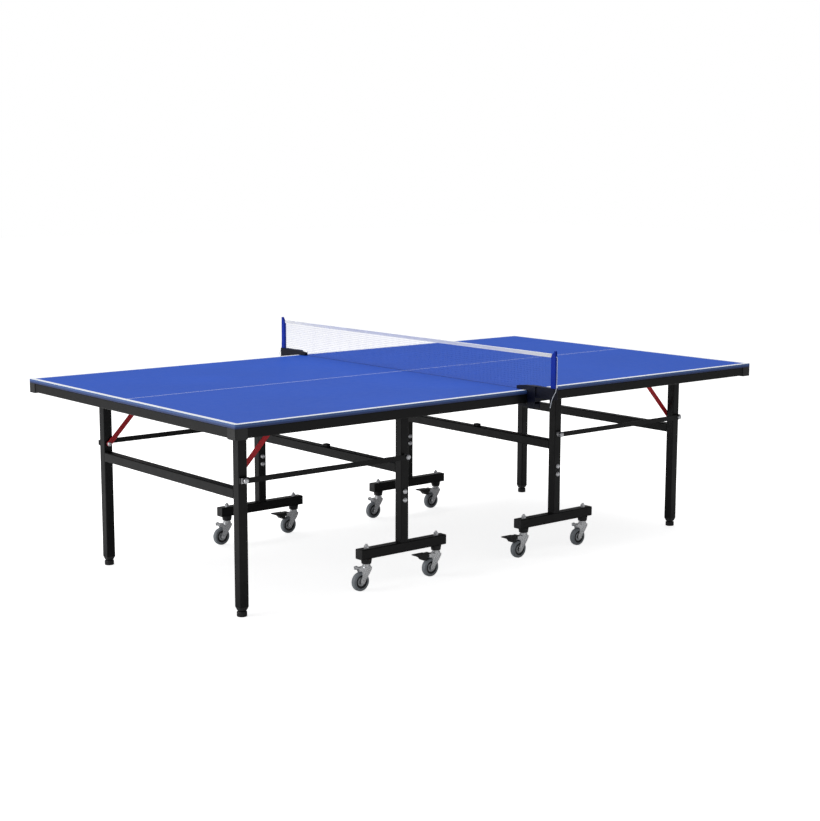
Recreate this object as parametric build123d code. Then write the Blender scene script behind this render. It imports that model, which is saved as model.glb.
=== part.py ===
from build123d import *
from math import atan2, degrees, pi
import os

# Folding table-tennis table: two wheeled halves that meet under a clip-on net.
# Millimetres. +X runs along the length, +Y across it, +Z up. The origin is on the floor under the net's centre.
# "left" is the -X half and "right" the +X half; "near" is the -Y side and "far" the +Y side.

# ---- Playing size ----
TABLE_LENGTH = 2740.0
TABLE_WIDTH = 1525.0
TABLE_HEIGHT = 760.0
NET_LENGTH = 1830.0           # over the outside of the cords on the two net posts
NET_HEIGHT = 152.5            # top of the net above the playing surface
HALF_GAP = 4.0                # slit between the two halves

# ---- Top ----
BOARD_THICKNESS = 16.0
BOARD_CORNER = 8.0
RAIL_HEIGHT = 36.0            # steel rails under the board
RAIL_WIDTH = 18.0
RAIL_WALL = 1.2
RAIL_INSET = 2.0              # rails sit this far inside the board's edge
GUARD_REACH = 50.0            # corner guard, along each edge
GUARD_DROP = 3.5              # how far the guard hangs below the rails

# ---- Square tubes of the underframe ----
TUBE = 38.0
TUBE_WALL = 1.5
TUBE_CORNER = 4.0
FRAME_Y = 489.5               # centre plane of the legs and posts, each side
LEG_X = 1173.0
POST_X = 420.0
HINGE_Z = 720.0               # leg hinges and post pivots
TUBE_OVER_HINGE = 7.0         # tube above the hinge axis
LEG_CROSSBAR_Z = 453.5
POST_CROSSBAR_Z = 459.0
LEG_TUBE_BOTTOM = 36.0

# ---- Wheeled base ----
BEAM = 40.0
BEAM_WALL = 2.0
BEAM_LENGTH = 430.0
BEAM_Z = 145.0
BEAM_CAP = 3.0
STUB = 34.4                   # base upright that slides inside the post
STUB_TOP = 420.0
POST_BOLTS_Z = (334.0, 368.0)

# ---- Casters ----
CASTER_SPACING = 354.0        # between the two swivels of one beam
CASTER_TRAIL = 30.0
WHEEL_RADIUS = 37.5
WHEEL_WIDTH = 24.0
TYRE_DEPTH = 11.5
STEM_RADIUS = 5.0
AXLE_RADIUS = 4.0
FORK_TOP = 92.0
FORK_PLATE = 2.5
COLLAR_BOTTOM = 105.0
PEDAL_PIVOT = (-42.0, 92.0)   # from the swivel axis, along X; and height
BRAKED = ("left_near_inner", "left_far_inner", "right_near_inner", "right_far_outer")

# ---- Links and braces ----
LINK_Z = 507.0
BAR_WIDTH = 20.0
LINK_THICKNESS = 5.0
LINK_STANDOFF = 14.0          # from the tube's outer face to the link
BRACE_THICKNESS = 4.0
BRACE_STANDOFF = 6.0          # from the leg's inner face to the brace
BRACE_TOP_X = 968.0
PIN_RADIUS = 4.0
HINGE_PIN_RADIUS = 5.0
TURNING_GAP = 0.3             # round a pin that something turns on

# ---- Net set ----
POST_WIDTH = 24.0
POST_DEPTH = 11.0
POST_TOP_OUTER = 925.0
POST_TOP_INNER = 900.0
CLAMP_X = (-16.0, 16.0)        # clip body, outside the board's edge
JAW_X = (-16.0, -0.5)          # clip jaws, on the left half only
CLAMP_TOP = 779.0
CLAMP_REACH = 707.0           # inner end of a clamp's upper jaw, from the table's centre line
CLAMP_BODY_OUT = 812.0
CORD_RADIUS = 1.1
CORD_STANDOFF = 4.8           # the hanging cord from the post's outer face

# ---- Worked out from the above ----
HALF_LENGTH = TABLE_LENGTH / 2
HALF_WIDTH = TABLE_WIDTH / 2
NET_EDGE = HALF_GAP / 2
BOARD_BOTTOM = TABLE_HEIGHT - BOARD_THICKNESS
RAIL_BOTTOM = BOARD_BOTTOM - RAIL_HEIGHT
TUBE_INNER_Y = FRAME_Y - TUBE / 2
TUBE_OUTER_Y = FRAME_Y + TUBE / 2
TUBE_TOP = HINGE_Z + TUBE_OVER_HINGE
BEAM_TOP = BEAM_Z + BEAM / 2
BEAM_BOTTOM = BEAM_Z - BEAM / 2
NET_TOP = TABLE_HEIGHT + NET_HEIGHT
POST_OUTER_Y = NET_LENGTH / 2 - 2 * CORD_RADIUS - CORD_STANDOFF
POST_INNER_Y = POST_OUTER_Y - POST_WIDTH
JAW_PIVOT = (HALF_WIDTH + 27, 704.0)     # (y, z) of the lower jaw's pin in a net clamp


# ---------------------------------------------------------------- shapes used everywhere
def block(x, y, z):
    """Box between the (low, high) limits on each axis."""
    limits = (x, y, z)
    centre = [(low + high) / 2 for low, high in limits]
    size = [abs(high - low) for low, high in limits]
    return Pos(*centre) * Box(*size)


def rod(start, end, radius):
    """Round bar from one point to another."""
    run = Vector(*end) - Vector(*start)
    return extrude(Plane(origin=start, z_dir=run) * Circle(radius), amount=run.length)


def square_tube(start, end, width, height, wall, corner=TUBE_CORNER):
    """Hollow rectangular tube from one point to another; width is the level side of its section."""
    run = Vector(*end) - Vector(*start)
    level = (0, 1, 0) if abs(run.X) > 1 else (1, 0, 0)
    plane = Plane(origin=start, x_dir=level, z_dir=run)
    outer = RectangleRounded(width, height, corner)
    inner = RectangleRounded(width - 2 * wall, height - 2 * wall, max(corner - wall, 0.5))
    return extrude(plane * (outer - inner), amount=run.length)


def cap_head(start, end, radius):
    """Domed bolt head that starts flat at one point and is rounded off at the other."""
    head = rod(start, end, radius)
    run = Vector(*end) - Vector(*start)
    tip = head.faces().sort_by(lambda face: (face.center() - Vector(*start)).dot(run))[-1]
    return fillet(tip.edges(), radius=0.85 * min(run.length, radius))


def flat_bar(start, end, y, thickness, width, holes):
    """Flat bar with round ends in the XZ plane, its low-Y face at y; holes is the radius at each end."""
    run = Vector(end[0] - start[0], 0, end[1] - start[1])
    middle = ((start[0] + end[0]) / 2, y, (start[1] + end[1]) / 2)
    plane = Plane(origin=middle, x_dir=run, z_dir=(0, 1, 0))
    bar = extrude(plane * SlotCenterToCenter(run.length, width), amount=thickness)
    for place, radius in zip((start, end), holes):
        if radius:
            bar -= rod((place[0], y - 1, place[1]), (place[0], y + thickness + 1, place[1]), radius)
    return bar


def profile(points, y, thickness):
    """Plate from an outline of (x, z) points, its low-Y face at y."""
    outline = Polyline(*[(px, y, pz) for px, pz in points], close=True)
    return extrude(make_face(outline), amount=thickness, dir=(0, 1, 0))


def near_and_far(shape):
    """A shape built on the far side, and its mirror image on the near side."""
    return [shape, mirror(shape, about=Plane.XZ)]


def to_left(shapes):
    """The mirror images, on the left half, of shapes built on the right half."""
    return [mirror(shape, about=Plane.YZ) for shape in shapes]


def save(node, shapes):
    """Write one node, keeping each piece a separate solid."""
    solids = [solid for shape in shapes for solid in shape.solids()]
    export_step(Compound(children=solids), f"parts/{node}.step")


# ---------------------------------------------------------------- top, right half
def tabletop():
    """Playing board, rounded at its two outer corners."""
    board = block((NET_EDGE, HALF_LENGTH), (-HALF_WIDTH, HALF_WIDTH), (BOARD_BOTTOM, TABLE_HEIGHT))
    corners = board.edges().filter_by(Axis.Z).group_by(Axis.X)[-1]
    return [fillet(corners, radius=BOARD_CORNER)]


def rail(start, end):
    """One steel rail under the board, between two (x, y) points."""
    z = BOARD_BOTTOM - RAIL_HEIGHT / 2
    return square_tube((*start, z), (*end, z), RAIL_WIDTH, RAIL_HEIGHT, RAIL_WALL, 2.5)


def apron_frame():
    """End rail, side rails, a net rail broken where the posts fold through it, and two inner cross rails."""
    half_rail = RAIL_WIDTH / 2
    side_y = HALF_WIDTH - RAIL_INSET - half_rail
    end_x = HALF_LENGTH - RAIL_INSET - half_rail
    net_x = NET_EDGE + RAIL_INSET + half_rail
    post_slot = (TUBE_INNER_Y - 10, TUBE_OUTER_Y + 30)
    end_rail = rail((end_x, -side_y - 5), (end_x, side_y + 5))
    side_rail = rail((net_x - half_rail, side_y), (end_x - half_rail, side_y))
    net_rail_middle = rail((net_x, -post_slot[0]), (net_x, post_slot[0]))
    net_rail_side = rail((net_x, post_slot[1]), (net_x, side_y - half_rail))
    cross_rails = [rail((x, -reach), (x, reach)) for x, reach in ((POST_X, 455), (LEG_X, 440))]
    return [end_rail, net_rail_middle, *cross_rails, *near_and_far(side_rail), *near_and_far(net_rail_side)]


def corner_guards():
    """Thin plastic shoe round each outer corner of the rails, with a lip under them."""
    low = (HALF_LENGTH - GUARD_REACH, HALF_WIDTH - GUARD_REACH)
    skin = RAIL_INSET
    lip = 25.0
    shoe = block((low[0], HALF_LENGTH), (low[1], HALF_WIDTH), (RAIL_BOTTOM - GUARD_DROP, BOARD_BOTTOM))
    outer_edge = shoe.edges().filter_by(Axis.Z).sort_by(Axis.X)[-2:].sort_by(Axis.Y)[-1]
    shoe = fillet(outer_edge, radius=BOARD_CORNER)
    room_x = (low[0] - 1, HALF_LENGTH - skin)
    room_y = (low[1] - 1, HALF_WIDTH - skin)
    shoe -= block(room_x, room_y, (RAIL_BOTTOM, BOARD_BOTTOM + 1))
    window_x = (low[0] - 1, HALF_LENGTH - lip)
    window_y = (low[1] - 1, HALF_WIDTH - lip)
    shoe -= block(window_x, window_y, (RAIL_BOTTOM - GUARD_DROP - 1, RAIL_BOTTOM + 1))
    return near_and_far(shoe)


def hinge_bracket(x):
    """Inverted U under the board with its pin, for a leg or a post to turn in."""
    plate = 3.0
    gap = 1.0
    reach = 22.0
    inner = TUBE_INNER_Y - gap
    outer = TUBE_OUTER_Y + gap
    channel = block((x - reach, x + reach), (inner - plate, outer + plate), (HINGE_Z - 16, BOARD_BOTTOM))
    ears = channel.edges().filter_by(Axis.Y).group_by(Axis.Z)[0]
    channel = fillet(ears, radius=12)
    channel -= block((x - reach - 1, x + reach + 1), (inner, outer), (0, BOARD_BOTTOM - plate))
    pin = rod((x, inner - plate, HINGE_Z), (x, outer + plate, HINGE_Z), HINGE_PIN_RADIUS)
    channel -= pin
    head = cap_head((x, outer + plate, HINGE_Z), (x, outer + plate + 3.5, HINGE_Z), 9)
    return [channel, pin + head]


def brace_bracket():
    """L-shaped ear under the board with the brace's upper pin."""
    plate = 3.0
    reach = 15.0
    ear_y = TUBE_INNER_Y - BRACE_STANDOFF + 1.5
    brace_y = TUBE_INNER_Y - BRACE_STANDOFF - BRACE_THICKNESS
    x = (BRACE_TOP_X - reach, BRACE_TOP_X + reach)
    ear = block(x, (ear_y, ear_y + plate), (HINGE_Z - reach, BOARD_BOTTOM))
    ear = fillet(ear.edges().filter_by(Axis.Y).group_by(Axis.Z)[0], radius=10)
    ear += block(x, (ear_y - 28, ear_y), (BOARD_BOTTOM - plate, BOARD_BOTTOM))
    axis = [(BRACE_TOP_X, y, HINGE_Z) for y in (ear_y + plate, brace_y - 0.5, brace_y - 5.5)]
    pin = rod(axis[0], axis[1], PIN_RADIUS)
    ear -= pin
    return [ear, pin + cap_head(axis[1], axis[2], 7)]


def pivot_brackets():
    """All the ears screwed under one half of the top, each with its pin."""
    pieces = [*hinge_bracket(POST_X), *hinge_bracket(LEG_X), *brace_bracket()]
    return [copy for piece in pieces for copy in near_and_far(piece)]


# ---------------------------------------------------------------- legs, right half
def leg():
    """Outer leg tube with the hinge hole near its top."""
    tube = square_tube((LEG_X, FRAME_Y, LEG_TUBE_BOTTOM), (LEG_X, FRAME_Y, TUBE_TOP), TUBE, TUBE, TUBE_WALL)
    return tube - hinge_hole(LEG_X)


def hinge_hole(x):
    """Clearance hole for a hinge pin through a tube."""
    radius = HINGE_PIN_RADIUS + TURNING_GAP
    return rod((x, TUBE_INNER_Y - 1, HINGE_Z), (x, TUBE_OUTER_Y + 1, HINGE_Z), radius)


def leg_plug():
    """Tapered plastic plug in the bottom of a leg, drilled for the foot's stem."""
    neck_z = 23.0
    insert = TUBE - 2 * TUBE_WALL - 0.4
    place = Pos(LEG_X, FRAME_Y)
    wide = place * Pos(0, 0, LEG_TUBE_BOTTOM) * RectangleRounded(TUBE, TUBE, TUBE_CORNER)
    narrow = place * Pos(0, 0, neck_z) * RectangleRounded(30, 30, 8)
    taper = loft([narrow, wide])
    top = LEG_TUBE_BOTTOM + 26
    inside = place * Pos(0, 0, LEG_TUBE_BOTTOM) * RectangleRounded(insert, insert, 2)
    plug = taper + extrude(inside, amount=top - LEG_TUBE_BOTTOM)
    return plug - rod((LEG_X, FRAME_Y, neck_z - 1), (LEG_X, FRAME_Y, top + 1), STEM_RADIUS + TURNING_GAP)


def leg_frame():
    """Two legs, their plugs and the crossbar between them."""
    ends = [(LEG_X, y, LEG_CROSSBAR_Z) for y in (-TUBE_INNER_Y, TUBE_INNER_Y)]
    crossbar = square_tube(*ends, TUBE, TUBE, TUBE_WALL)
    return [*near_and_far(leg()), *near_and_far(leg_plug()), crossbar]


def foot():
    """Round levelling foot with grip flutes and a threaded stem, on the far side."""
    radius = TUBE / 2
    height = 20.0
    knob = fillet(Cylinder(radius, height).edges().group_by(Axis.Z)[-1], radius=5)
    knob = chamfer(knob.edges().group_by(Axis.Z)[0], length=1.5)
    for flute in PolarLocations(radius + 1.2, 14):
        knob -= flute * Cylinder(2.4, height + 2)
    stem_top = 56.0
    stem = rod((0, 0, height / 2 - 1), (0, 0, stem_top - height / 2), STEM_RADIUS)
    return Pos(LEG_X, FRAME_Y, height / 2) * (knob + stem)


def cap_bolt_on(x, start_y):
    """Stud and domed head that hold a link's end, standing out from y."""
    link_face = TUBE_OUTER_Y + LINK_STANDOFF + LINK_THICKNESS
    stud = rod((x, start_y, LINK_Z), (x, link_face + 1, LINK_Z), PIN_RADIUS)
    return stud + cap_head((x, link_face + 1, LINK_Z), (x, link_face + 8, LINK_Z), 10.5)


def leg_bolts():
    """Block on the leg's outer face and the capped stud that the link turns on."""
    face = TUBE_OUTER_Y + LINK_STANDOFF - 1
    standoff = block((LEG_X - TUBE / 2, LEG_X + TUBE / 2), (TUBE_OUTER_Y, face), (LINK_Z - 10, LINK_Z + 10))
    standoff = fillet(standoff.edges().filter_by(Axis.Z), radius=3)
    return [*near_and_far(standoff), *near_and_far(cap_bolt_on(LEG_X, face))]


# ---------------------------------------------------------------- wheeled stand, right half
def stand_frame():
    """Two posts with the crossbar between them; each slides over a stub of the base."""
    bottom = (POST_X, FRAME_Y, BEAM_TOP)
    post = square_tube(bottom, (POST_X, FRAME_Y, TUBE_TOP), TUBE, TUBE, TUBE_WALL)
    post -= hinge_hole(POST_X)
    post -= post_bolt_holes()
    ends = [(POST_X, y, POST_CROSSBAR_Z) for y in (-TUBE_INNER_Y, TUBE_INNER_Y)]
    return [*near_and_far(post), square_tube(*ends, TUBE, TUBE, TUBE_WALL)]


def post_bolt_holes():
    """The two cross holes where a post is bolted to its stub."""
    ends = (TUBE_INNER_Y - 1, TUBE_OUTER_Y + 1)
    holes = [rod((POST_X, ends[0], z), (POST_X, ends[1], z), PIN_RADIUS) for z in POST_BOLTS_Z]
    return holes[0] + holes[1]


def stand_base():
    """Beam that carries two casters, with the upright stub for the post."""
    half = BEAM_LENGTH / 2 - BEAM_CAP
    ends = [(POST_X + x, FRAME_Y, BEAM_Z) for x in (-half, half)]
    beam = square_tube(*ends, BEAM, BEAM, BEAM_WALL)
    for x in swivel_offsets():
        centre = (POST_X + x, FRAME_Y)
        beam -= rod((*centre, BEAM_BOTTOM - 1), (*centre, BEAM_TOP + 1), STEM_RADIUS)
    stub = square_tube((POST_X, FRAME_Y, BEAM_TOP), (POST_X, FRAME_Y, STUB_TOP), STUB, STUB, TUBE_WALL, 2.2)
    stub -= post_bolt_holes()
    return [*near_and_far(beam), *near_and_far(stub)]


def swivel_offsets():
    """Swivel axes of a beam, along X from the post."""
    return (-CASTER_SPACING / 2, CASTER_SPACING / 2)


def beam_end_caps():
    """Push-in plastic cap at each end of each beam."""
    caps = []
    inner = BEAM - 2 * BEAM_WALL - 0.4
    for side in (-1, 1):
        end = (POST_X + side * (BEAM_LENGTH / 2 - BEAM_CAP), FRAME_Y, BEAM_Z)
        plane = Plane(origin=end, x_dir=(0, 1, 0), z_dir=(side, 0, 0))
        plate = extrude(plane * RectangleRounded(BEAM, BEAM, TUBE_CORNER), amount=BEAM_CAP)
        plate = fillet(plate.edges().group_by(Axis.X)[-1 if side > 0 else 0], radius=1.2)
        plug = extrude(plane * RectangleRounded(inner, inner, 1.8), amount=-14)
        caps += near_and_far(plate + plug)
    return caps


def stand_bolts():
    """Capped through bolts at each stub, and the spacer and capped stud for each link."""
    face = TUBE_OUTER_Y + LINK_STANDOFF - 1
    pieces = []
    for z in POST_BOLTS_Z:
        bolt = rod((POST_X, TUBE_INNER_Y, z), (POST_X, TUBE_OUTER_Y, z), PIN_RADIUS)
        bolt += cap_head((POST_X, TUBE_OUTER_Y, z), (POST_X, TUBE_OUTER_Y + 8, z), 10)
        bolt += cap_head((POST_X, TUBE_INNER_Y, z), (POST_X, TUBE_INNER_Y - 8, z), 10)
        pieces.append(bolt)
    pieces.append(rod((POST_X, TUBE_OUTER_Y, LINK_Z), (POST_X, face, LINK_Z), 10))
    pieces.append(cap_bolt_on(POST_X, face))
    return [copy for piece in pieces for copy in near_and_far(piece)]


def crossbar_buffer():
    """Rubber rest on the middle of the posts' crossbar."""
    top = POST_CROSSBAR_Z + TUBE / 2
    rest = block((POST_X - 11, POST_X + 11), (-14, 14), (top, top + 10))
    return [fillet(rest.edges().filter_by(Axis.Z), radius=5)]


def caster_collars():
    """Plastic cone under the beam round each caster stem."""
    height = BEAM_BOTTOM - COLLAR_BOTTOM
    collar = Pos(0, 0, COLLAR_BOTTOM + height / 2) * Cone(19, 22, height)
    collar -= rod((0, 0, COLLAR_BOTTOM - 1), (0, 0, BEAM_BOTTOM + 1), STEM_RADIUS)
    places = [Pos(POST_X + x, FRAME_Y) * collar for x in swivel_offsets()]
    return [copy for place in places for copy in near_and_far(place)]


def caster_stems():
    """Threaded stem of each caster, with its rivet head below and its washer and nut above the beam."""
    stem = rod((0, 0, FORK_TOP - 8), (0, 0, BEAM_TOP + 16), STEM_RADIUS)
    stem += rod((0, 0, FORK_TOP - 8), (0, 0, FORK_TOP - FORK_PLATE - 0.5), 8)
    washer = rod((0, 0, BEAM_TOP), (0, 0, BEAM_TOP + 1.5), 10)
    nut = extrude(Pos(0, 0, BEAM_TOP + 1.5) * RegularPolygon(8.5, 6, major_radius=False), amount=8)
    stem = stem + washer + nut
    places = [Pos(POST_X + x, FRAME_Y) * stem for x in swivel_offsets()]
    return [copy for place in places for copy in near_and_far(place)]


# ---------------------------------------------------------------- links and braces, right half
def link_bars():
    """Level bar on the outer side that ties the leg to the post."""
    hole = PIN_RADIUS + TURNING_GAP
    y = TUBE_OUTER_Y + LINK_STANDOFF
    bar = flat_bar((POST_X, LINK_Z), (LEG_X, LINK_Z), y, LINK_THICKNESS, BAR_WIDTH, (hole, hole))
    return near_and_far(bar)


def braces():
    """Sloping bar on the inner side from the top to the leg, with the capped bolt at its foot."""
    y = TUBE_INNER_Y - BRACE_STANDOFF - BRACE_THICKNESS
    top = (BRACE_TOP_X, HINGE_Z)
    bottom = (LEG_X, LINK_Z)
    bar = flat_bar(top, bottom, y, BRACE_THICKNESS, BAR_WIDTH, (PIN_RADIUS + TURNING_GAP, PIN_RADIUS))
    bolt = rod((bottom[0], y, bottom[1]), (bottom[0], TUBE_INNER_Y - 0.5, bottom[1]), PIN_RADIUS)
    bolt += cap_head((bottom[0], y, bottom[1]), (bottom[0], y - 7, bottom[1]), 8)
    return [*near_and_far(bar), *near_and_far(bolt)]


# ---------------------------------------------------------------- casters, about the swivel axis
def fork():
    """Bent steel fork with its swivel race, axle and pedal ears."""
    inside = WHEEL_WIDTH / 2 + 2.5
    outside = inside + FORK_PLATE
    outline = [(15, FORK_TOP), (14, FORK_TOP - 9), (3, FORK_TOP - 26), (-12, WHEEL_RADIUS + 11)]
    outline += [(-19, WHEEL_RADIUS - 3), (-25, WHEEL_RADIUS - 9), (-35, WHEEL_RADIUS - 9), (-40, WHEEL_RADIUS - 2)]
    outline += [(-39, WHEEL_RADIUS + 8), (-31, WHEEL_RADIUS + 22), (-30, WHEEL_RADIUS + 34), (-34, FORK_TOP - 11)]
    outline += [(-47, FORK_TOP - 8), (-49, FORK_TOP + 4), (-36, FORK_TOP + 6), (-26, FORK_TOP)]
    shell = near_and_far(profile(outline, inside, FORK_PLATE))
    body = shell[0] + shell[1] + block((-26, 15), (-outside, outside), (FORK_TOP - FORK_PLATE, FORK_TOP))
    body += rod((0, 0, FORK_TOP), (0, 0, FORK_TOP + 6), 17)
    body += rod((0, 0, FORK_TOP + 6), (0, 0, COLLAR_BOTTOM - 0.6), 14)
    body -= rod((0, 0, FORK_TOP - FORK_PLATE - 1), (0, 0, COLLAR_BOTTOM), STEM_RADIUS + TURNING_GAP)
    axle_ends = [(-CASTER_TRAIL, y, WHEEL_RADIUS) for y in (-outside, outside)]
    pivot_ends = [(PEDAL_PIVOT[0], y, PEDAL_PIVOT[1]) for y in (-outside, outside)]
    axle = rod(*axle_ends, AXLE_RADIUS)
    pivot = rod(*pivot_ends, 2.5)
    body = body - axle - pivot
    for side in (-1, 1):
        nut_ends = [(-CASTER_TRAIL, side * y, WHEEL_RADIUS) for y in (outside, outside + 3.5)]
        axle += cap_head(*nut_ends, 7)
    return [body, axle, pivot]


def wheel():
    """Rubber tyre round a plastic hub, on the fork's axle."""
    plane = Plane(origin=(-CASTER_TRAIL, 0, WHEEL_RADIUS), z_dir=(0, 1, 0))
    hub_radius = WHEEL_RADIUS - TYRE_DEPTH
    tyre = Cylinder(WHEEL_RADIUS, WHEEL_WIDTH)
    tyre = fillet(tyre.edges(), radius=8) - Cylinder(hub_radius, WHEEL_WIDTH)
    hub = Cylinder(hub_radius - 0.1, WHEEL_WIDTH - 3) - Cylinder(AXLE_RADIUS + TURNING_GAP, WHEEL_WIDTH)
    for side in (-1, 1):
        recess = Cylinder(hub_radius - 6, 5) - Cylinder(9, 5)
        hub -= Pos(0, 0, side * WHEEL_WIDTH / 2) * recess
    return [plane * tyre, plane * hub]


def brake_pedal():
    """Foot lever with its shoe over the tyre, turning on the fork's ears."""
    outline = [(-34, 87), (-34, 98), (-110, 99), (-112, 95), (-88, 88), (-74, 73), (-58, 70), (-52, 84)]
    inside = WHEEL_WIDTH / 2 + 1.5
    lever = profile(outline, -inside, 2 * inside)
    flange = profile([(-56, 93), (-56, 98.3), (-110, 99), (-112, 95)], -inside - 5, 2 * inside + 10)
    pivot = rod((PEDAL_PIVOT[0], -inside - 1, PEDAL_PIVOT[1]), (PEDAL_PIVOT[0], inside + 1, PEDAL_PIVOT[1]), 2.8)
    return [lever + flange - pivot]


# ---------------------------------------------------------------- net set, built on the far side
def net_post():
    """Flat post with a sloping top, notched for the net's cord."""
    notch_floor = POST_TOP_INNER + 2.5
    x = POST_DEPTH / 2
    outline = [(0, POST_INNER_Y, CLAMP_TOP), (0, POST_OUTER_Y, CLAMP_TOP), (0, POST_OUTER_Y, POST_TOP_OUTER - 2)]
    outline += [(0, POST_OUTER_Y - 4, POST_TOP_OUTER), (0, POST_INNER_Y, POST_TOP_INNER)]
    post = extrude(make_face(Polyline(*outline, close=True)), amount=x, dir=(1, 0, 0), both=True)
    post = fillet(post.edges().filter_by(Axis.Z), radius=2)
    post -= block((-2, 2), (POST_INNER_Y - 1, POST_OUTER_Y + 1), (notch_floor, POST_TOP_OUTER + 5))
    return post - block((-2, 2), (POST_OUTER_Y - 5, POST_OUTER_Y + 1), (notch_floor - 5, notch_floor + 1))


def net_clamp():
    """Clip body on the left half's edge with its upper jaw, cheeks for the lower jaw, and the post's arm."""
    body = block(CLAMP_X, (HALF_WIDTH + 4, CLAMP_BODY_OUT), (718, CLAMP_TOP))
    low = TABLE_HEIGHT + 0.3
    outline = [(JAW_X[0], CLAMP_REACH, low), (JAW_X[0], CLAMP_REACH, CLAMP_TOP - 7)]
    outline += [(JAW_X[0], CLAMP_REACH + 3, CLAMP_TOP - 5), (JAW_X[0], HALF_WIDTH - 8, CLAMP_TOP)]
    outline += [(JAW_X[0], HALF_WIDTH + 4, CLAMP_TOP), (JAW_X[0], HALF_WIDTH + 4, low)]
    jaw = extrude(make_face(Polyline(*outline, close=True)), amount=JAW_X[1] - JAW_X[0], dir=(1, 0, 0))
    for x in (CLAMP_X[0], CLAMP_X[1] - 3):
        body += block((x, x + 3), (HALF_WIDTH + 7, CLAMP_BODY_OUT - 4), (690, 718))
    arm = block((-12, 12), (CLAMP_BODY_OUT - 10, POST_OUTER_Y), (735, CLAMP_TOP))
    arm = fillet(arm.edges().filter_by(Axis.Z).group_by(Axis.Y)[-1], radius=3)
    arm -= block((-9.5, 9.5), (CLAMP_BODY_OUT, POST_OUTER_Y - 2.5), (734, CLAMP_TOP - 4))
    pin = rod((CLAMP_X[0] - 1, *JAW_PIVOT), (CLAMP_X[1] + 1, *JAW_PIVOT), 3)
    return [body + jaw + arm - pin, pin]


def clamp_jaw():
    """Sprung lower jaw that grips the rail from below."""
    x = (CLAMP_X[0] + 3.5, CLAMP_X[1] - 3.5)
    y, z = JAW_PIVOT
    heel = block(x, (y - 17, y + 17), (692, 710))
    heel = fillet(heel.edges().filter_by(Axis.X).group_by(Axis.Y)[-1], radius=4)
    inner_x = (x[0], JAW_X[1])
    tip = HALF_WIDTH - 50.5
    tongue = block(inner_x, (tip, y - 17), (696, 704))
    pad = block(inner_x, (tip, tip + 24), (704, RAIL_BOTTOM - 0.4))
    return heel + tongue + pad - rod((x[0] - 1, y, z), (x[1] + 1, y, z), 3 + TURNING_GAP)


def net():
    """Mesh panel and the white band along its top, as plain solids."""
    tape_bottom = NET_TOP - 15.0
    reach = POST_INNER_Y - 0.5
    over_clamps = CLAMP_TOP + 0.5
    mesh = block((-0.8, 0.8), (-reach, reach), (over_clamps, tape_bottom))
    mesh += block((-0.8, 0.8), (-CLAMP_REACH + 1, CLAMP_REACH - 1), (TABLE_HEIGHT + 2, over_clamps))
    tape = block((-2, 2), (-reach, reach), (tape_bottom, NET_TOP))
    return [mesh, tape]


def net_cord():
    """Tensioning cord: out of the band, over the post's notch, down its outer face to a short free tail."""
    outer = NET_LENGTH / 2 - CORD_RADIUS - 0.2
    level = POST_TOP_INNER + 2.5 + CORD_RADIUS + 0.2
    route = [(0, POST_INNER_Y - 0.4, level), (0, outer, level), (0, outer, 776)]
    route += [(-15.5, outer, 755), (-16, 901, 734), (-15.5, 895, 704)]
    radii = [4, 12, 8, 18]
    path = FilletPolyline(*route, radius=radii)
    start = Plane(origin=path @ 0, z_dir=path % 0)
    cord = sweep(start * Circle(CORD_RADIUS), path=path)
    section = pi * CORD_RADIUS ** 2
    print("net cord radii", radii, "length", round(path.length, 1),
          "volume over section x length", round(cord.volume / (section * path.length), 4))
    return cord


# ---------------------------------------------------------------- writing the nodes
def write_half(side, place):
    """Write every node of one half; place mirrors the right half's shapes where they belong."""
    save(f"{side}_tabletop", place(tabletop()))
    save(f"{side}_apron_frame", place(apron_frame()))
    save(f"{side}_corner_guards", place(corner_guards()))
    save(f"{side}_pivot_brackets", place(pivot_brackets()))
    save(f"{side}_leg_frame", place(leg_frame()))
    save(f"{side}_leg_bolts", place(leg_bolts()))
    save(f"{side}_stand_frame", place(stand_frame()))
    save(f"{side}_stand_base", place(stand_base()))
    save(f"{side}_beam_end_caps", place(beam_end_caps()))
    save(f"{side}_stand_bolts", place(stand_bolts()))
    save(f"{side}_crossbar_buffer", place(crossbar_buffer()))
    save(f"{side}_caster_collars", place(caster_collars()))
    save(f"{side}_caster_stems", place(caster_stems()))
    save(f"{side}_link_bars", place(link_bars()))
    save(f"{side}_braces", place(braces()))
    far_foot, near_foot = place(near_and_far(foot()))
    save(f"{side}_far_foot", [far_foot])
    save(f"{side}_near_foot", [near_foot])


def write_casters():
    """Write the eight casters, all trailing towards -X; inner is the one nearer the net."""
    for side, sign in (("left", -1), ("right", 1)):
        for depth, y in (("near", -FRAME_Y), ("far", FRAME_Y)):
            for along, offset in (("inner", -CASTER_SPACING / 2), ("outer", CASTER_SPACING / 2)):
                name = f"{side}_{depth}_{along}"
                swivel = Pos(sign * (POST_X + offset), y)
                save(f"{name}_fork", [swivel * piece for piece in fork()])
                save(f"{name}_wheel", [swivel * piece for piece in wheel()])
                if name in BRAKED:
                    save(f"{name}_pedal", [swivel * piece for piece in brake_pedal()])


def write_net_set():
    """Write the posts, clips, net and cords."""
    save("net_posts", near_and_far(net_post()))
    save("net_clamps", [copy for piece in net_clamp() for copy in near_and_far(piece)])
    far_jaw, near_jaw = near_and_far(clamp_jaw())
    save("far_clamp_jaw", [far_jaw])
    save("near_clamp_jaw", [near_jaw])
    save("net", net())
    save("net_cords", near_and_far(net_cord()))


os.makedirs("parts", exist_ok=True)
write_half("right", list)
write_half("left", to_left)
write_casters()
write_net_set()
brace_angle = degrees(atan2(HINGE_Z - LINK_Z, LEG_X - BRACE_TOP_X))
print("brace slope below level, degrees:", round(brace_angle, 3))
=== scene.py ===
import math
import random

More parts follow.
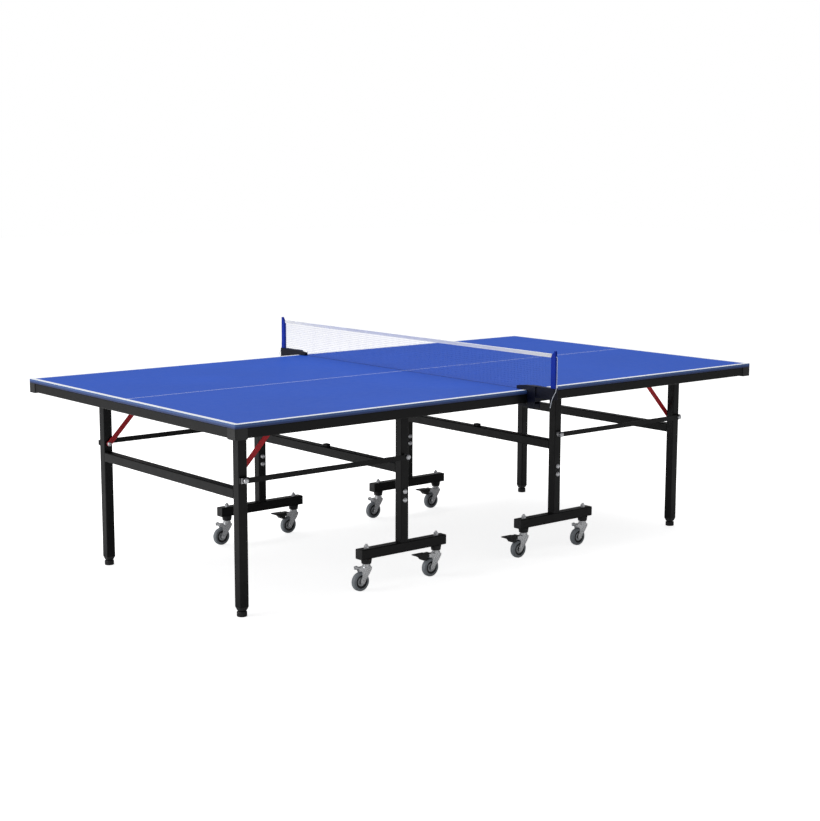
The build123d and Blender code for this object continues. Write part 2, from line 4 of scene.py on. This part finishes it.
import bmesh
import bpy
import numpy as np
from mathutils import Matrix, Vector


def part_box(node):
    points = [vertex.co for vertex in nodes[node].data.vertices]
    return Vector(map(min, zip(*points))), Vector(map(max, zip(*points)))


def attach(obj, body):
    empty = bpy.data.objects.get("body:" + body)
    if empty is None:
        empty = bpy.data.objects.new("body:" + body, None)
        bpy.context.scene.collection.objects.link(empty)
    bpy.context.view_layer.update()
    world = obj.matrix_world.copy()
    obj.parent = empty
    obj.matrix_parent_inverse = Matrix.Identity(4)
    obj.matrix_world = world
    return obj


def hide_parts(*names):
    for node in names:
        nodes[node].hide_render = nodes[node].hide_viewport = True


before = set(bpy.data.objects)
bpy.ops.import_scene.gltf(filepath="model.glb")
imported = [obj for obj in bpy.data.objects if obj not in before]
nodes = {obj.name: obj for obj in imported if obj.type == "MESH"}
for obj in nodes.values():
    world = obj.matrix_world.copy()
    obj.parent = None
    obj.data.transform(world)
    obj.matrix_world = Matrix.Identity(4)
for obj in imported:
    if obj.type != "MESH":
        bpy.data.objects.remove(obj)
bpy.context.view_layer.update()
collection = bpy.context.scene.collection

# ---------------------------------------------------------------- sizes, in metres
TOP = 0.760
BOARD = 0.016
HALF_LENGTH = 1.370
HALF_WIDTH = 0.7625
NET_EDGE = 0.002
CORNER = 0.008
BOARD_BEVEL = 0.0009
EDGE_LINE = 0.020
CENTRE_LINE = 0.003
LEG_X = 1.173            # centre line of a leg
LINK_Z = 0.507           # height of the link bars and of the braces' lower bolts
FOOT_PLUG_TOP = 0.0359   # the plastic plug in a leg's lower end starts below this
BOLT_SPACER_Y = 0.52145  # spacers lie inside this, bolt caps outside it
BRACKET_PIN_Y = (0.5127, 0.60)
BRACE_BOLT_RADIUS = 0.0085
POST_INNER_Y = 0.8840
POST_NOTCH = 0.9025      # floor of the notch that the cord leaves over
CLAMP_TOP = 0.779
CLAMP_REACH = 0.707
NET_TOP = 0.9125
NET_FOOT = 0.7624        # underside of the net between the clips
BAND = 0.015
CORD_RADIUS = 0.0011
CORD_OUT = 0.9137        # |y| of the hanging cord
CORD_CLEAR = 0.0002
BEAD_Z = 0.787
WHEEL_RADIUS = 0.0375
SIDES = (("left", -1), ("right", 1))


# ---------------------------------------------------------------- materials
class Nodes:
    """Short way to write a procedural material's node tree."""

    def __init__(self, name, **principled):
        self.material = bpy.data.materials.new(name)
        self.material.use_nodes = True
        self.tree = self.material.node_tree
        self.shader = self.tree.nodes["Principled BSDF"]
        for socket, value in principled.items():
            self.shader.inputs[socket.replace("_", " ")].default_value = value

    def add(self, kind, inputs=(), **settings):
        node = self.tree.nodes.new(kind)
        for name, value in settings.items():
            setattr(node, name, value)
        for socket, value in dict(inputs).items():
            if isinstance(value, bpy.types.NodeSocket):
                self.tree.links.new(value, node.inputs[socket])
            else:
                node.inputs[socket].default_value = value
        return node

    def place(self):
        return self.add("ShaderNodeTexCoord").outputs["Object"]

    def stretched(self, scale):
        return self.add("ShaderNodeMapping", {"Vector": self.place(), "Scale": scale}).outputs["Vector"]

    def noise(self, scale, detail=4.0, where=None):
        inputs = {"Vector": where or self.place(), "Scale": scale, "Detail": detail}
        return self.add("ShaderNodeTexNoise", inputs).outputs["Fac"]

    def ramp(self, factor, stops):
        node = self.add("ShaderNodeValToRGB", {"Fac": factor})
        while len(node.color_ramp.elements) < len(stops):
            node.color_ramp.elements.new(0.5)
        for element, (at, colour) in zip(node.color_ramp.elements, stops):
            element.position = at
            element.color = (*colour, 1) if len(colour) == 3 else colour
        return node.outputs["Color"]

    def range(self, value, low, high, start=0.0, end=1.0):
        inputs = {"Value": value, "From Min": start, "From Max": end, "To Min": low, "To Max": high}
        return self.add("ShaderNodeMapRange", inputs).outputs["Result"]

    def mix(self, factor, a, b, blend="MIX"):
        node = self.add("ShaderNodeMix", data_type="RGBA", blend_type=blend)
        for socket, value in ((0, factor), (6, a), (7, b)):
            if isinstance(value, bpy.types.NodeSocket):
                self.tree.links.new(value, node.inputs[socket])
            else:
                node.inputs[socket].default_value = value if socket == 0 else (*value, 1)
        return node.outputs[2]

    def colour(self, socket):
        self.tree.links.new(socket, self.shader.inputs["Base Color"])

    def roughness(self, socket):
        self.tree.links.new(socket, self.shader.inputs["Roughness"])

    def bump(self, height, strength, distance=0.001):
        inputs = {"Height": height, "Strength": strength, "Distance": distance}
        node = self.add("ShaderNodeBump", inputs)
        self.tree.links.new(node.outputs["Normal"], self.shader.inputs["Normal"])


def linear(*rgb):
    """Screen colour 0 to 255 as the linear colour a shader takes."""
    return tuple(c / 255 / 12.92 if c <= 10 else ((c / 255 + 0.055) / 1.055) ** 2.4 for c in rgb)


def tones(name, base, spread, scale, rough, bump_scale, bump, **principled):
    """Colour that drifts between two close tones, mottled roughness and a fine surface texture."""
    n = Nodes(name, **principled)
    lighter = tuple(min(1.0, c * (1 + spread) + 0.002 * spread) for c in base)
    darker = tuple(c * (1 - spread) for c in base)
    drift = n.noise(scale)
    n.colour(n.ramp(drift, [(0.35, darker), (0.65, lighter)]))
    n.roughness(n.range(n.noise(scale * 3.1), rough - 0.05, rough + 0.06, 0.3, 0.7))
    n.bump(n.noise(bump_scale, 2.0), bump)
    return n


def board_paint(name, base):
    """Rolled matt table paint: a very fine stipple with slow changes of tone."""
    n = Nodes(name, Specular_IOR_Level=0.18)
    slow = n.noise(2.6, 3.0)
    stipple = n.noise(900, 2.0)
    tone = n.ramp(slow, [(0.3, tuple(c * 0.96 for c in base)), (0.7, tuple(c * 1.04 for c in base))])
    speck = n.range(stipple, 0.0, 0.06, 0.45, 0.75)
    n.colour(n.mix(speck, tone, tuple(min(1, c * 1.6 + 0.01) for c in base)))
    n.roughness(n.range(n.noise(30), 0.45, 0.49, 0.3, 0.7))
    n.bump(stipple, 0.10, 0.0004)
    return n.material


def edge_banding(name):
    """Side of the board: blue band with paler stripes of its own; the darkening towards the bottom is
    painted shade and the bright top rim is a painted highlight.
    """
    n = Nodes(name, Roughness=0.38)
    z = n.add("ShaderNodeSeparateXYZ", {"Vector": n.place()}).outputs["Z"]
    wobble = n.noise(60, 2.0)
    height = n.range(z, 0.0, 1.0, TOP - BOARD, TOP)
    wavy = n.add("ShaderNodeMath", {0: n.range(wobble, -0.02, 0.02), 1: height}, operation="ADD").outputs[0]
    # The darkest tone at the bottom is painted shade, and the last, palest stop at the top is a painted
    # highlight on the rim; the pale stripes between them are the band's own.
    painted_shade_bottom, mid, pale = linear(28, 44, 92), linear(48, 78, 140), linear(82, 116, 180)
    lower = [(0.0, painted_shade_bottom), (0.28, linear(40, 64, 120)), (0.50, mid)]
    upper = [(0.62, pale), (0.74, mid), (0.90, pale), (1.0, linear(120, 150, 200))]
    n.colour(n.ramp(wavy, lower + upper))
    n.bump(n.noise(400, 2.0), 0.08)
    return n.material


def powder_coat(name, base, rough=0.38):
    """Baked powder coat: orange peel with faint lighter rubbing."""
    n = Nodes(name, Specular_IOR_Level=0.22, Coat_Weight=0.04, Coat_Roughness=0.2)
    rub = n.noise(7.0, 6.0)
    worn = tuple(c * 1.25 for c in base)
    n.colour(n.ramp(rub, [(0.30, tuple(c * 0.85 for c in base)), (0.66, base), (0.82, worn)]))
    n.roughness(n.range(n.noise(22), rough - 0.06, rough + 0.07, 0.3, 0.7))
    n.bump(n.noise(1100, 2.0), 0.12, 0.0003)
    return n.material


def bright_metal(name, base, rough, scale):
    """Zinc or chrome plate with a fine grain, handling marks and dull spots."""
    n = Nodes(name, Metallic=0.5)
    grain = n.noise(1.0, 6.0, n.stretched((scale, scale * 0.2, scale)))
    dull = n.noise(60, 3.0)
    n.colour(n.ramp(dull, [(0.35, tuple(c * 0.94 for c in base)), (0.6, base)]))
    n.roughness(n.range(grain, rough - 0.06, rough + 0.10, 0.3, 0.7))
    n.bump(grain, 0.02, 0.0002)
    return n.material


def cotton(name, base):
    """Plain woven cotton."""
    n = Nodes(name, Roughness=0.85, Sheen_Weight=0.25, Sheen_Roughness=0.5)
    waves = []
    for axis in ("Y", "Z"):
        inputs = {"Vector": n.place(), "Scale": 450.0, "Distortion": 0.6, "Detail": 1.0}
        waves.append(n.add("ShaderNodeTexWave", inputs, bands_direction=axis).outputs["Fac"])
    weave = n.add("ShaderNodeMath", {0: waves[0], 1: waves[1]}, operation="MULTIPLY").outputs[0]
    soiled = n.ramp(n.noise(14), [(0.3, tuple(c * 0.93 for c in base)), (0.7, base)])
    n.colour(n.mix(n.range(weave, 0.0, 0.25), soiled, tuple(c * 0.75 for c in base)))
    n.bump(weave, 0.30, 0.0004)
    return n.material


BLUE = (0.013, 0.088, 0.53)
paint = board_paint("table_blue", BLUE)
line_paint = board_paint("line_white", (0.90, 0.93, 0.97))
banding = edge_banding("board_edge")
black_coat = powder_coat("black_powder_coat", linear(15, 15, 17))
red_coat = powder_coat("red_powder_coat", linear(222, 44, 54), 0.34)
blue_coat = tones("blue_post_paint", (0.002, 0.028, 0.40), 0.08, 9, 0.34, 700, 0.08,
                  Specular_IOR_Level=0.2).material
black_plastic = tones("moulded_black_plastic", linear(30, 30, 32), 0.14, 20, 0.50, 520, 0.14).material
clip_plastic = tones("clip_navy", linear(5, 9, 32), 0.12, 26, 0.42, 620, 0.12,
                     Specular_IOR_Level=0.25).material
soft_rubber = tones("soft_black_rubber", linear(34, 34, 35), 0.16, 30, 0.72, 350, 0.22).material
plate = bright_metal("zinc_plate", (0.82, 0.83, 0.86), 0.28, 260)
chrome = bright_metal("chrome_plate", (0.93, 0.94, 0.96), 0.24, 340)
tyre_rubber = tones("grey_tyre_rubber", linear(150, 156, 162), 0.10, 24, 0.62, 420, 0.22).material
hub_black = tones("hub_black_plastic", linear(34, 35, 38), 0.12, 30, 0.45, 500, 0.10).material
hub_pale = tones("hub_pale_plastic", linear(206, 210, 214), 0.05, 26, 0.40, 500, 0.08).material
thread = cotton("net_thread", linear(76, 108, 204))
band_cloth = cotton("net_band_cotton", (0.985, 0.99, 1.0))
cord_cloth = cotton("cord_braid", linear(224, 231, 244))


# ---------------------------------------------------------------- mesh helpers
def mesh_object(name, build, materials, body, replaced=(), bevel=0.0, smooth=30):
    """Object from a bmesh that build fills, riding on a body and standing for CAD nodes."""
    bm = bmesh.new()
    build(bm)
    bmesh.ops.recalc_face_normals(bm, faces=bm.faces)
    data = bpy.data.meshes.new(name)
    bm.to_mesh(data)
    bm.free()
    obj = bpy.data.objects.new(name, data)
    collection.objects.link(obj)
    for material in materials:
        data.materials.append(material)
    if bevel:
        modifier = obj.modifiers.new("edges", "BEVEL")
        modifier.width = bevel
        modifier.segments = 2
        modifier.limit_method = "ANGLE"
        modifier.angle_limit = math.radians(30)
        modifier.harden_normals = True
    shade(data, smooth)
    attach(obj, body)
    if replaced:
        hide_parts(*replaced)
    return obj


def shade(data, angle):
    """Smooth shading that keeps edges sharper than the angle."""
    data.polygons.foreach_set("use_smooth", [True] * len(data.polygons))
    data.set_sharp_from_angle(angle=math.radians(angle))


def turned(bm, profile, material=0, steps=48, at=Matrix.Identity(4)):
    """Ring turned about Y: profile is (radius, y) points round a closed section."""
    rings = []
    for k in range(steps):
        a = 2 * math.pi * k / steps
        ring = [bm.verts.new(at @ Vector((r * math.cos(a), y, r * math.sin(a)))) for r, y in profile]
        rings.append(ring)
    for k in range(steps):
        for i in range(len(profile)):
            j = (i + 1) % len(profile)
            quad = (rings[k][i], rings[k][j], rings[(k + 1) % steps][j], rings[(k + 1) % steps][i])
            bm.faces.new(quad).material_index = material


def paint_node(node, *materials, pick=None):
    """Give a CAD node its materials; pick(centre) says which one each face takes."""
    obj = nodes[node]
    obj.data.materials.clear()
    for material in materials:
        obj.data.materials.append(material)
    if pick:
        count = len(obj.data.polygons)
        centres = np.zeros(count * 3)
        obj.data.polygons.foreach_get("center", centres)
        obj.data.polygons.foreach_set("material_index", [pick(c) for c in centres.reshape(-1, 3)])
        obj.data.update()


# ---------------------------------------------------------------- cords
def net_cord(name, side):
    """One end of the net's cord: over the post's notch and down to a short free tail."""
    outer = CORD_OUT
    level = POST_NOTCH + CORD_RADIUS + CORD_CLEAR
    exit_y = POST_INNER_Y - 0.0004
    route = [(0, exit_y, level), (0, outer, level), (0, outer, 0.8900), (0, outer, 0.776)]
    route += [(-0.0155, outer, 0.755), (-0.016, 0.901, 0.734), (-0.0155, 0.895, 0.704)]
    curve = bpy.data.curves.new(name, "CURVE")
    curve.dimensions = "3D"
    spline = curve.splines.new("NURBS")
    spline.points.add(len(route) - 1)
    for point, (x, y, z) in zip(spline.points, route):
        point.co = (x, side * y, z, 1)
    spline.order_u = 3
    spline.use_endpoint_u = True
    spline.resolution_u = 12
    curve.bevel_depth = CORD_RADIUS
    curve.bevel_resolution = 4
    curve.use_fill_caps = True
    curve.materials.append(cord_cloth)
    obj = bpy.data.objects.new(name, curve)
    collection.objects.link(obj)
    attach(obj, "left_top")
    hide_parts("net_cords")
    return obj, (0, side * exit_y, level)


def bead(name, side):
    """Small plated stop crimped on the cord below the post's middle."""
    half = 0.0045
    def build(bm):
        upper = [(0.0033, 0), (0.0027, half * 0.85), (CORD_RADIUS, half)]
        outline = [(r, -y) for r, y in reversed(upper[1:])] + upper
        turn = Matrix.Translation((0, side * CORD_OUT, BEAD_Z)) @ Matrix.Rotation(math.pi / 2, 4, "X")
        turned(bm, outline, 0, 24, turn)
    return mesh_object(name, build, [chrome], "left_top", smooth=40)


for side_name, side in (("near", -1), ("far", 1)):
    cord, leaves = net_cord(f"net_cord_{side_name}", side)
    stop = bead(f"cord_stop_{side_name}", side)


# ---------------------------------------------------------------- boards
def board(bm, side):
    """Half of the top with its lines as faces of their own.

    Materials: 0 blue, 1 white, 2 edge band, 3 underside and the edge at the joint.
    """
    def spans(cuts):
        return list(zip(cuts[:-1], cuts[1:]))
    xs = [NET_EDGE, HALF_LENGTH - EDGE_LINE, HALF_LENGTH]
    inner_y = HALF_WIDTH - EDGE_LINE
    ys = [-HALF_WIDTH, -inner_y, -CENTRE_LINE / 2, CENTRE_LINE / 2, inner_y, HALF_WIDTH]
    made = {}
    def corner(x, y, z):
        key = (round(x, 6), round(y, 6), round(z, 6))
        if key not in made:
            made[key] = bm.verts.new((side * x, y, z))
        return made[key]
    def arc(y_sign):
        x = HALF_LENGTH - CORNER
        y = y_sign * (HALF_WIDTH - CORNER)
        angles = [math.radians(90 * k / 6) for k in range(7)]
        return [(x + CORNER * math.cos(a), y + y_sign * CORNER * math.sin(a)) for a in angles]
    for z, top in ((TOP, True), (TOP - BOARD, False)):
        for x0, x1 in spans(xs):
            for y0, y1 in spans(ys):
                outline = [(x0, y0), (x1, y0), (x1, y1), (x0, y1)]
                if x1 == HALF_LENGTH and y1 == HALF_WIDTH:
                    outline = [(x0, y0), (x1, y0), *arc(1), (x0, y1)]
                if x1 == HALF_LENGTH and y0 == -HALF_WIDTH:
                    outline = [(x0, y0), *reversed(arc(-1)), (x1, y1), (x0, y1)]
                face = bm.faces.new([corner(x, y, z) for x, y in outline])
                centre = abs(y0 + y1) < 1e-6
                line = x1 == HALF_LENGTH or y0 == -HALF_WIDTH or y1 == HALF_WIDTH or centre
                face.material_index = 1 if top and line else (0 if top else 3)
    rim = [e for e in bm.edges if e.is_boundary and all(v.co.z > TOP - BOARD / 2 for v in e.verts)]
    for a, b in [e.verts for e in rim]:
        low = [corner(side * v.co.x, v.co.y, TOP - BOARD) for v in (a, b)]
        face = bm.faces.new([a, b, low[1], low[0]])
        joint = all(abs(abs(v.co.x) - NET_EDGE) < 1e-6 for v in (a, b))
        face.material_index = 3 if joint else 2


underside = tones("board_underside", linear(38, 42, 58), 0.10, 8, 0.55, 300, 0.15).material
for name, side in SIDES:
    mesh_object(f"{name}_board", lambda bm: board(bm, side), [paint, line_paint, banding, underside],
                f"{name}_top", [f"{name}_tabletop"], bevel=BOARD_BEVEL)


# ---------------------------------------------------------------- net
MESH = 0.0082            # pitch of the uprights
THREAD = 0.00036         # radius of a thread
RUNS = 16
SLACK = 0.0004           # how far a knot strays
random.seed(7)


def thread_tube(bm, points, radius, steps=5):
    """Thin round thread through the points."""
    rings = []
    for i, p in enumerate(points):
        before = points[max(i - 1, 0)]
        after = points[min(i + 1, len(points) - 1)]
        along = (after - before).normalized()
        across = along.cross(Vector((1, 0, 0))).normalized()
        other = along.cross(across)
        ring = [p + radius * (math.cos(a) * across + math.sin(a) * other)
                for a in (2 * math.pi * k / steps for k in range(steps))]
        rings.append([bm.verts.new(v) for v in ring])
    for first, second in zip(rings[:-1], rings[1:]):
        for k in range(steps):
            bm.faces.new((first[k], first[(k + 1) % steps], second[(k + 1) % steps], second[k]))
    bm.faces.new(reversed(rings[0]))
    bm.faces.new(rings[-1])


def net_bottom(y):
    """The mesh rests on the clamps' jaws at its ends and clears the board between them."""
    return CLAMP_TOP + 0.0006 if abs(y) > CLAMP_REACH - 0.0012 else NET_FOOT


def net_mesh(bm):
    """Square mesh: uprights and runs that lie side by side, with a knot where they meet."""
    reach = POST_INNER_Y - 0.0012
    top = NET_TOP - BAND + 0.001
    columns = int(2 * reach / MESH)
    pitch = 2 * reach / columns
    uprights = [-reach + pitch * k for k in range(columns + 1)]
    lowest = NET_FOOT + 0.0006
    runs = [lowest + (top - lowest) * k / RUNS for k in range(RUNS)]
    ease = {(i, j): (random.uniform(-1, 1) * SLACK, random.uniform(-1, 1) * SLACK)
            for i in range(columns + 1) for j in range(RUNS)}
    def knot(i, j):
        dy, dz = ease[i, j]
        inside = 0.0 if i in (0, columns) else 1.0
        y = uprights[i] + dy * inside
        z = max(runs[j] + (dz if j else 0.0), net_bottom(y) + 0.0006)
        return Vector((0.00012 * math.sin(i * 0.7 + j), y, z))
    for i in range(columns + 1):
        points = [knot(i, j) for j in range(RUNS)] + [Vector((0, uprights[i], top))]
        shown = [points[0]] + [p for a, p in zip(points[:-1], points[1:]) if (p - a).length > 0.001]
        thread_tube(bm, shown, THREAD)
    for j in range(RUNS):
        thread_tube(bm, [knot(i, j) for i in range(columns + 1)], THREAD)


def net_band(bm):
    """Cotton band folded over the top cord and sewn down on both faces."""
    reach = POST_INNER_Y - 0.0006
    steps = 150
    foot = NET_TOP - BAND
    outside = [(0.0011, foot), (0.00125, foot + 0.0022), (0.00115, foot + 0.0026), (0.0013, foot + 0.0075),
               (0.0016, NET_TOP - 0.0042), (0.0019, NET_TOP - 0.0022), (0.0013, NET_TOP - 0.0006)]
    inside = [(0.0009, NET_TOP - 0.0011), (0.0013, NET_TOP - 0.0024), (0.0010, NET_TOP - 0.0042),
              (0.0007, foot + 0.0075), (0.0006, foot)]
    outline = outside + [(0, NET_TOP)] + [(-x, z) for x, z in reversed(outside)]
    outline += [(-x, z) for x, z in reversed(inside)] + [(0, NET_TOP - 0.0007)] + inside
    rings = []
    for k in range(steps + 1):
        y = -reach + 2 * reach * k / steps
        ripple = 0.00012 * math.sin(y * 190) + 0.00009 * math.sin(y * 71 + 1)
        rings.append([bm.verts.new((x * (1 + 0.05 * math.sin(y * 330)) + ripple, y, z)) for x, z in outline])
    for a, b in zip(rings[:-1], rings[1:]):
        for i in range(len(outline)):
            j = (i + 1) % len(outline)
            bm.faces.new((a[i], a[j], b[j], b[i]))
    bm.faces.new(reversed(rings[0]))
    bm.faces.new(rings[-1])


mesh_piece = mesh_object("net_mesh", net_mesh, [thread], "left_top", ["net"], smooth=60)
band = mesh_object("net_band", net_band, [band_cloth], "left_top", ["net"], smooth=50)


# ---------------------------------------------------------------- wheels
def wheel(bm, x, y, z):
    """Grey tyre on a black rim with a pale disc and a hub boss."""
    at = Matrix.Translation((x, y, z))
    w = 0.012
    r = WHEEL_RADIUS
    tyre = [(0.0262, -0.0105), (0.0285, -w), (0.0312, -0.01195), (0.0338, -0.0112)]
    tyre += [(0.0358, -0.0093), (0.0370, -0.0066), (r, -0.0034)]
    rim = [(0.0178, -0.0070), (0.0184, -0.0092), (0.0215, -0.0098), (0.0246, -0.0104)]
    rim += [(0.0259, -0.0100), (0.02605, -0.0085)]
    disc = [(0.0088, -0.0072), (0.0120, -0.0086), (0.0160, -0.0090), (0.0177, -0.0080)]
    boss = [(0.0043, -0.0118), (0.0080, -0.0118), (0.0087, -0.0108)]
    for profile, material, steps in ((tyre, 0, 72), (rim, 1, 64), (disc, 2, 64), (boss, 1, 48)):
        turned(bm, profile + [(a, -b) for a, b in reversed(profile)], material, steps, at)


for node in sorted(n for n in nodes if n.endswith("_wheel")):
    low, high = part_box(node)
    middle = (low + high) / 2
    mesh_object(f"{node}_detail", lambda bm: wheel(bm, middle.x, middle.y, middle.z),
                [tyre_rubber, hub_black, hub_pale], node, [node], smooth=35)


# ---------------------------------------------------------------- CAD nodes keep their shape
def at_foot_plug(c):
    return int(c[2] < FOOT_PLUG_TOP)


def at_bolt_spacer(c):
    return int(abs(c[1]) < BOLT_SPACER_Y)


def at_brace_bolt(c):
    return int(math.hypot(abs(c[0]) - LEG_X, c[2] - LINK_Z) < BRACE_BOLT_RADIUS)


def at_bracket_pin(c):
    return int(BRACKET_PIN_Y[0] < abs(c[1]) < BRACKET_PIN_Y[1])


for name, side in SIDES:
    for part in ("apron_frame", "stand_base", "link_bars"):
        paint_node(f"{name}_{part}", black_coat)
    paint_node(f"{name}_stand_frame", black_coat)
    paint_node(f"{name}_leg_frame", black_coat, black_plastic, pick=at_foot_plug)
    paint_node(f"{name}_corner_guards", black_plastic)
    paint_node(f"{name}_beam_end_caps", black_plastic)
    paint_node(f"{name}_crossbar_buffer", soft_rubber)
    paint_node(f"{name}_caster_collars", black_plastic)
    paint_node(f"{name}_caster_stems", plate)
    paint_node(f"{name}_stand_bolts", plate)
    paint_node(f"{name}_near_foot", black_plastic)
    paint_node(f"{name}_far_foot", black_plastic)
    paint_node(f"{name}_leg_bolts", plate, black_coat, pick=at_bolt_spacer)
    paint_node(f"{name}_braces", red_coat, plate, pick=at_brace_bolt)
    paint_node(f"{name}_pivot_brackets", black_coat, plate, pick=at_bracket_pin)
for node in sorted(nodes):
    if node.endswith("_fork"):
        paint_node(node, chrome)
    if node.endswith("_pedal"):
        paint_node(node, black_plastic)
    if node.endswith("_clamp_jaw"):
        paint_node(node, clip_plastic)
paint_node("net_posts", blue_coat)
paint_node("net_clamps", clip_plastic)


# ---------------------------------------------------------------- stage
FLOOR_HALF = 30.0
FLOOR_GLOW = 0.80        # what the camera sees on top of the light that falls on the floor
SKY_LIGHT = 0.26
CAMERA_PLACE = (-4.2328, -5.1189, 1.6022)
CAMERA_ANGLES = (39.772, 8.692, 0.149)      # yaw, pitch down and roll, in degrees
FOCAL = 1563.24 / 821    # focal length over the width of the picture
SENSOR = 36.0


def stage_floor():
    corners = [(FLOOR_HALF * x, FLOOR_HALF * y, 0) for x, y in ((-1, -1), (1, -1), (1, 1), (-1, 1))]
    data = bpy.data.meshes.new("floor")
    data.from_pydata(corners, [], [(0, 1, 2, 3)])
    obj = bpy.data.objects.new("floor", data)
    collection.objects.link(obj)
    floor = tones("pale_floor", (0.9, 0.9, 0.9), 0.004, 0.4, 0.9, 3.0, 0.0, Specular_IOR_Level=0.0)
    seen = floor.add("ShaderNodeLightPath").outputs["Is Camera Ray"]
    floor.shader.inputs["Emission Color"].default_value = (1, 1, 1, 1)
    floor.tree.links.new(floor.range(seen, 0.0, FLOOR_GLOW), floor.shader.inputs["Emission Strength"])
    data.materials.append(floor.material)


def area_light(name, place, aim, size, power):
    data = bpy.data.lights.new(name, "AREA")
    data.shape = "RECTANGLE"
    data.size, data.size_y = size
    data.energy = power
    obj = bpy.data.objects.new(name, data)
    obj.location = place
    obj.rotation_euler = (Vector(aim) - Vector(place)).to_track_quat("-Z", "Y").to_euler()
    collection.objects.link(obj)


stage_floor()
world = bpy.data.worlds.new("studio")
world.use_nodes = True
sky = world.node_tree
background = sky.nodes["Background"]
paths = sky.nodes.new("ShaderNodeLightPath")
shown = sky.nodes.new("ShaderNodeMapRange")
shown.inputs["To Min"].default_value = SKY_LIGHT
shown.inputs["To Max"].default_value = 1.0
sky.links.new(paths.outputs["Is Camera Ray"], shown.inputs["Value"])
sky.links.new(shown.outputs["Result"], background.inputs["Strength"])
background.inputs["Color"].default_value = (1, 1, 1, 1)
bpy.context.scene.world = world
area_light("top", (0.3, 0.6, 5.2), (0, 0, 0.7), (6.0, 6.0), 235)
area_light("side", (-6.5, 2.0, 1.9), (0, 0, 0.5), (5.0, 3.4), 165)
bpy.context.scene.view_settings.view_transform = "Standard"

camera = bpy.data.cameras.new("camera")
camera.sensor_width = SENSOR
camera.lens = FOCAL * SENSOR
camera.clip_end = 200
eye = bpy.data.objects.new("camera", camera)
yaw, pitch, roll = (math.radians(angle) for angle in CAMERA_ANGLES)
level = Vector((math.sin(yaw), math.cos(yaw), 0))
forward = level * math.cos(pitch) - Vector((0, 0, math.sin(pitch)))
level_right = Vector((math.cos(yaw), -math.sin(yaw), 0))
level_up = level_right.cross(forward)
right = level_right * math.cos(roll) + level_up * math.sin(roll)
up = level_up * math.cos(roll) - level_right * math.sin(roll)
turn = Matrix((right, up, -forward)).transposed().to_4x4()
eye.matrix_world = Matrix.Translation(CAMERA_PLACE) @ turn
collection.objects.link(eye)
bpy.context.scene.camera = eye
